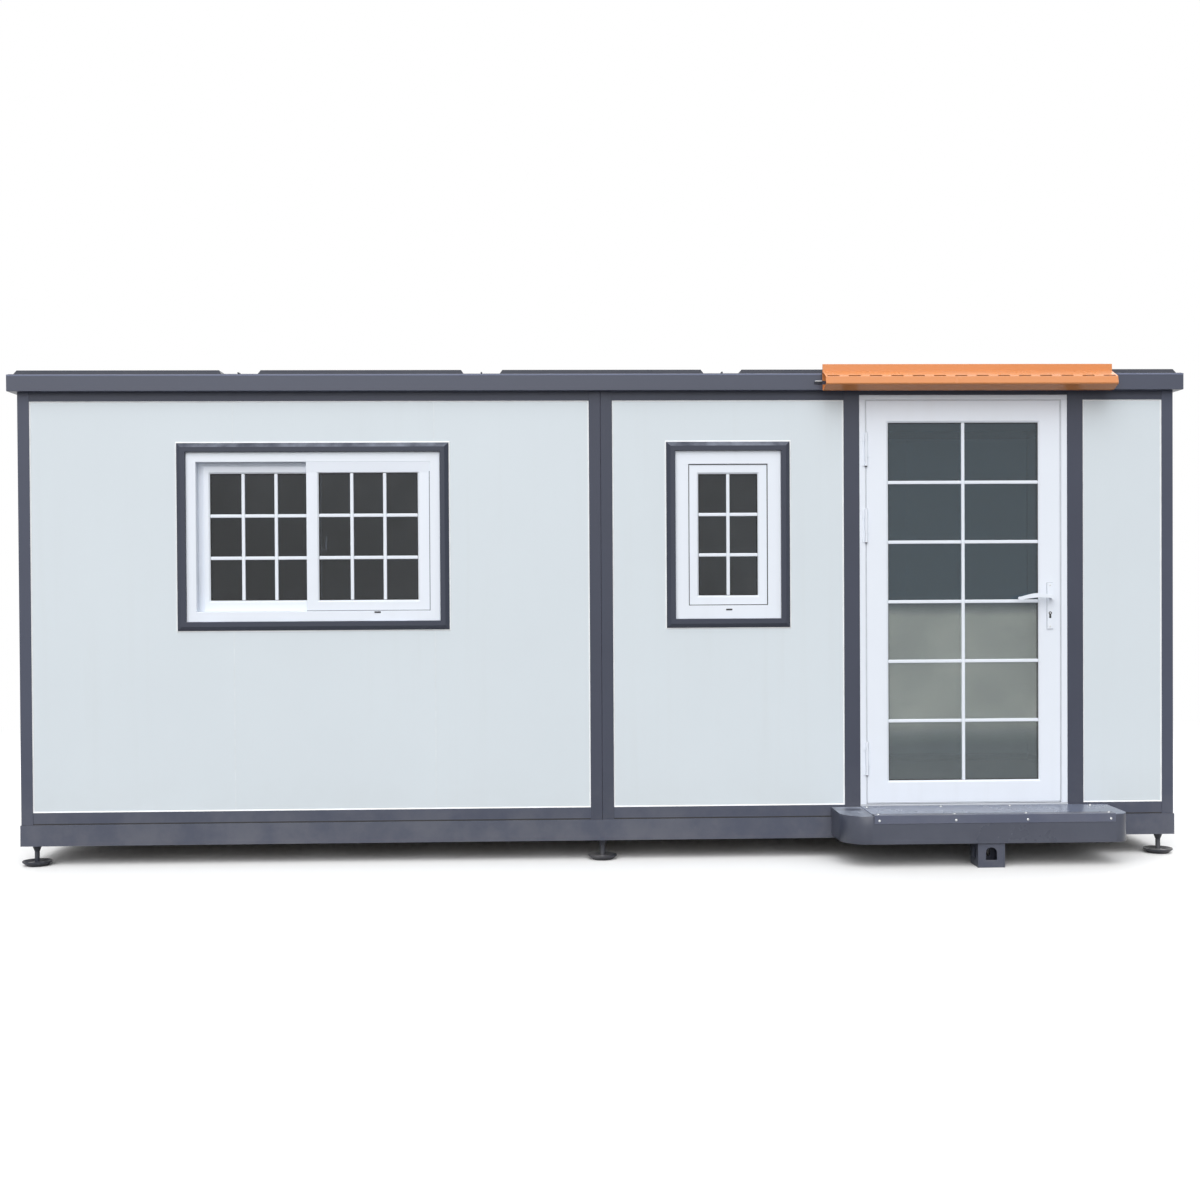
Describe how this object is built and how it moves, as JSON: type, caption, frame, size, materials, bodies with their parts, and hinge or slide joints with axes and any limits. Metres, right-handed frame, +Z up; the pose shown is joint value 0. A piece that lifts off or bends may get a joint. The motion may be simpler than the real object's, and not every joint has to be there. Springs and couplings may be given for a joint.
{
  "type": "shipping container cabin",
  "caption": "Flat-roofed steel-framed cabin of container size with white wall panels, sliding window, side-hung window, glazed swing door, outside step and rain hood.",
  "frame": {"origin": "ground level under the middle of the box that holds the cabin, its roof edge and its step", "axes": "+X to the right along the front, +Y into the cabin away from the door side, +Z up"},
  "size_m": [5.88, 2.73, 2.484],
  "materials": {
    "frame_paint": "satin",
    "trim_paint": "satin",
    "foot_paint": "satin",
    "panel_skin": "satin",
    "white_plastic": "satin",
    "glazing": "clear",
    "hood_paint": "gloss",
    "zinc_steel": "galvanised",
    "bright_steel": "satin",
    "floor_sheet": "matte"
  },
  "bodies": {
    "cabin": {"base_long_beams": "frame_paint", "base_end_beams": "frame_paint", "bottom_rails": "frame_paint", "top_rails": "frame_paint", "corner_posts": "frame_paint", "middle_posts": "frame_paint", "door_posts": "frame_paint", "roof_front_edge": "frame_paint", "roof_back_edge": "frame_paint", "roof_end_edges": "frame_paint", "roof_plates": "frame_paint", "step_body": "frame_paint", "step_cover": "frame_paint", "step_nosing": "frame_paint", "step_leg": "frame_paint", "sliding_window_trim": "trim_paint", "hung_window_trim": "trim_paint", "ceiling_panel": "panel_skin", "front_wall_left": "panel_skin", "front_wall_middle": "panel_skin", "front_wall_right": "panel_skin", "back_wall_left": "panel_skin", "back_wall_right": "panel_skin", "end_walls": "panel_skin", "sliding_window_frame": "white_plastic", "fixed_sash": "white_plastic", "sliding_sash": "white_plastic", "hung_window_frame": "white_plastic", "hung_sash": "white_plastic", "door_jambs": "white_plastic", "door_head": "white_plastic", "door_stops": "white_plastic", "frame_hinges": "white_plastic", "levelling_feet": "foot_paint", "sliding_window_glass": "glazing", "hung_window_glass": "glazing", "rain_hood": "hood_paint", "floor_joists": "zinc_steel", "door_threshold": "bright_steel", "floor_board": "floor_sheet"},
    "door": {"door_leaf": "white_plastic", "door_glass": "glazing", "leaf_hinges": "white_plastic", "lock_plates": "white_plastic"},
    "lever": {"lever_handle": "white_plastic"}
  },
  "joints": [
    {"name": "door_swing", "type": "hinge", "parent": "cabin", "child": "door", "pos_m": [1.331, -1.0206, 1.29], "axis": [0, 0, -1], "range_deg": [0, 110]},
    {"name": "lever_turn", "type": "hinge", "parent": "door", "child": "lever", "pos_m": [2.268, -1.013, 1.311], "axis": [0, -1, 0], "range_deg": [0, 45], "stiffness_Nm_per_rad": 2, "springref_deg": -17.19}
  ]
}
